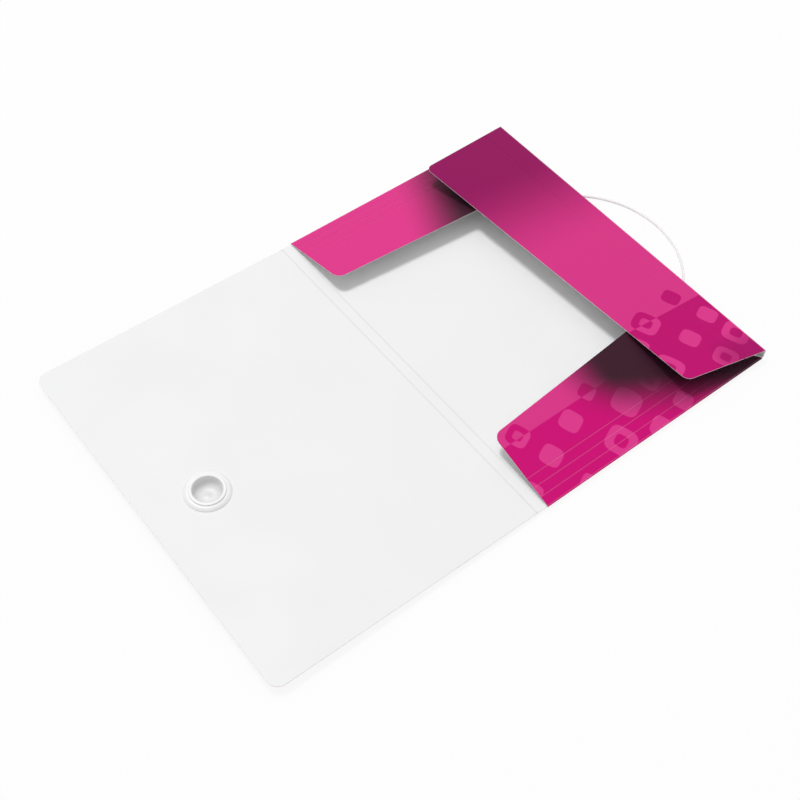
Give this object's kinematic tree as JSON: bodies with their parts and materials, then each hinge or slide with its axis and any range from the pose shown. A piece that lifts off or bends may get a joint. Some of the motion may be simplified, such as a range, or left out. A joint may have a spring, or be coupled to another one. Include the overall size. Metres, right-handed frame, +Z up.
{
  "type": "document folder",
  "caption": "Open elastic folder creased from plastic sheet: cover with a hollow button, spine, back, end flaps and a side flap that hold papers, and a cord loop that hooks on the button.",
  "frame": {"origin": "on the table, under the middle of the open folder without its free cord: the button's foot is at z = 0", "axes": "+X from the cover across the spine to the fore-edge of the back, +Y towards the folder's top edge, +Z up from the table"},
  "size_m": [0.4993, 0.32, 0.0245],
  "materials": {
    "sheet_inside": "satin white inside of a printed polypropylene sheet",
    "sheet_outside": "satin bright pink outside of a printed polypropylene sheet",
    "button": "smooth moulded white plastic",
    "elastic": "white braided elastic",
    "end_tag": "moulded off-white plastic"
  },
  "bodies": {
    "back": {"back_panel": "sheet_inside", "elastic_cord": "elastic", "elastic_end_tag_top": "end_tag", "elastic_end_tag_bottom": "end_tag"},
    "spine": {"spine_panel": "sheet_inside"},
    "cover": {"front_cover": "sheet_inside", "button_cup": "button", "button_snap_ring": "button"},
    "wall": {"side_wall": "sheet_outside"},
    "side_flap": {"side_flap": "sheet_outside"},
    "top_flap": {"top_flap": "sheet_outside"},
    "bottom_flap": {"bottom_flap": "sheet_outside"}
  },
  "joints": [
    {"name": "spine_crease", "type": "hinge", "parent": "back", "child": "spine", "pos_m": [0.0049, 0, 0.00345], "axis": [0, 1, 0], "range_deg": [0, 90]},
    {"name": "cover_crease", "type": "hinge", "parent": "spine", "child": "cover", "pos_m": [-0.0041, 0, 0.00345], "axis": [0, 1, 0], "range_deg": [0, 87.5]},
    {"name": "wall_crease", "type": "hinge", "parent": "back", "child": "wall", "pos_m": [0.2314, 0, 0.00345], "axis": [0, 1, 0], "range_deg": [-3.41, 90]},
    {"name": "side_flap_crease", "type": "hinge", "parent": "wall", "child": "side_flap", "pos_m": [0.2314, 0, 0.0107], "axis": [0, 1, 0], "range_deg": [-3.1, 82.04]},
    {"name": "top_flap_crease", "type": "hinge", "parent": "back", "child": "top_flap", "pos_m": [0.11815, 0.16, 0.00345], "axis": [-1, 0, 0], "range_deg": [-6.34, 167.79]},
    {"name": "bottom_flap_crease", "type": "hinge", "parent": "back", "child": "bottom_flap", "pos_m": [0.11815, -0.16, 0.00345], "axis": [1, 0, 0], "range_deg": [-6.34, 167.79]}
  ],
  "couplings": [
    {"joint": "bottom_flap_crease", "follows": "top_flap_crease", "ratio": 1},
    {"joint": "wall_crease", "follows": "top_flap_crease", "ratio": 0.53636},
    {"joint": "side_flap_crease", "follows": "top_flap_crease", "ratio": 0.48893}
  ]
}
